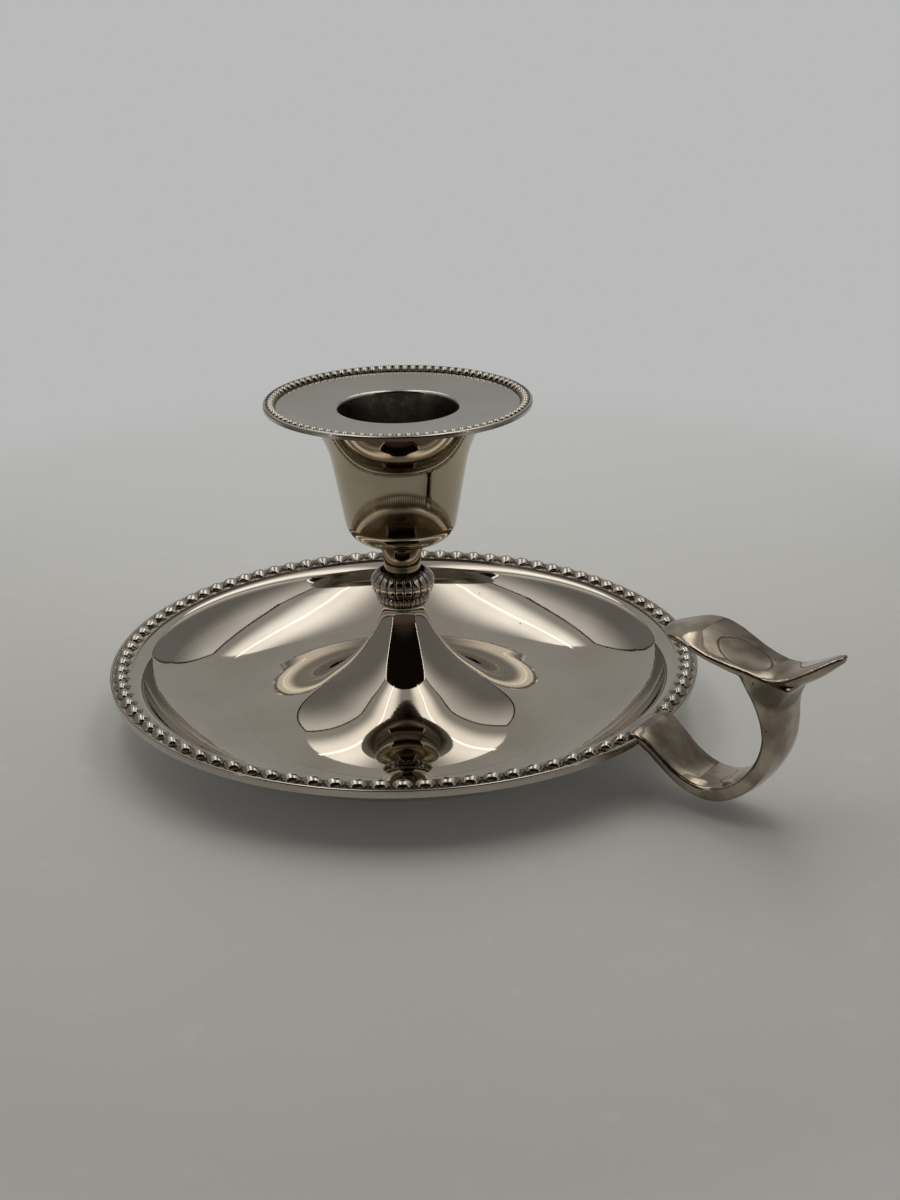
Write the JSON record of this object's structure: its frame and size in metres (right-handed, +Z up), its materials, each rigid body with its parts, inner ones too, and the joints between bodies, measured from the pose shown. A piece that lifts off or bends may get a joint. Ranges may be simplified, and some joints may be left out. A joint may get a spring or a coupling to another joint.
{
  "type": "chamberstick with finger loop",
  "caption": "Silver-plated chamberstick: round dish with a bead border, column with a lift-out candle nozzle and drip pan, and a looped handle with a thumb leaf.",
  "frame": {"origin": "centre of the dish on the table, on the column axis", "axes": "+Z up along the column, +X out along the handle"},
  "size_m": [0.1695, 0.13, 0.0728],
  "materials": {
    "plated_dish": "silver plate, warm mirror polish with fine scratches and small dark specks",
    "tarnished_border": "silver plate, polished beads with dark tarnish between them",
    "plated_column": "silver plate, warm mirror polish",
    "tarnished_knop": "silver plate, worn ribs with dark tarnish in the grooves",
    "plated_nozzle": "silver plate, polished pan with a dull dark socket",
    "cast_handle": "silver-plated casting, slightly uneven polish, dark at the solder joint",
    "solder": "smooth soft solder, light grey",
    "bolt_steel": "plain turned steel",
    "nut_brass": "plain brass, dulled"
  },
  "bodies": {
    "base": {"dish_pan": "plated_dish", "dish_bead_border": "tarnished_border", "trumpet_stem": "plated_column", "knop_collar": "tarnished_knop", "neck_spool": "plated_column", "candle_cup": "plated_column", "loop_handle": "cast_handle", "handle_solder": "solder", "tie_bolt": "bolt_steel", "clamp_washer": "nut_brass", "clamp_nut": "nut_brass"},
    "nozzle": {"nozzle": "plated_nozzle", "nozzle_bead_border": "tarnished_border"}
  },
  "joints": [
    {"name": "nozzle_lift", "type": "slide", "parent": "base", "child": "nozzle", "axis": [0, 0, 1], "range_m": [0, 0.03]}
  ]
}
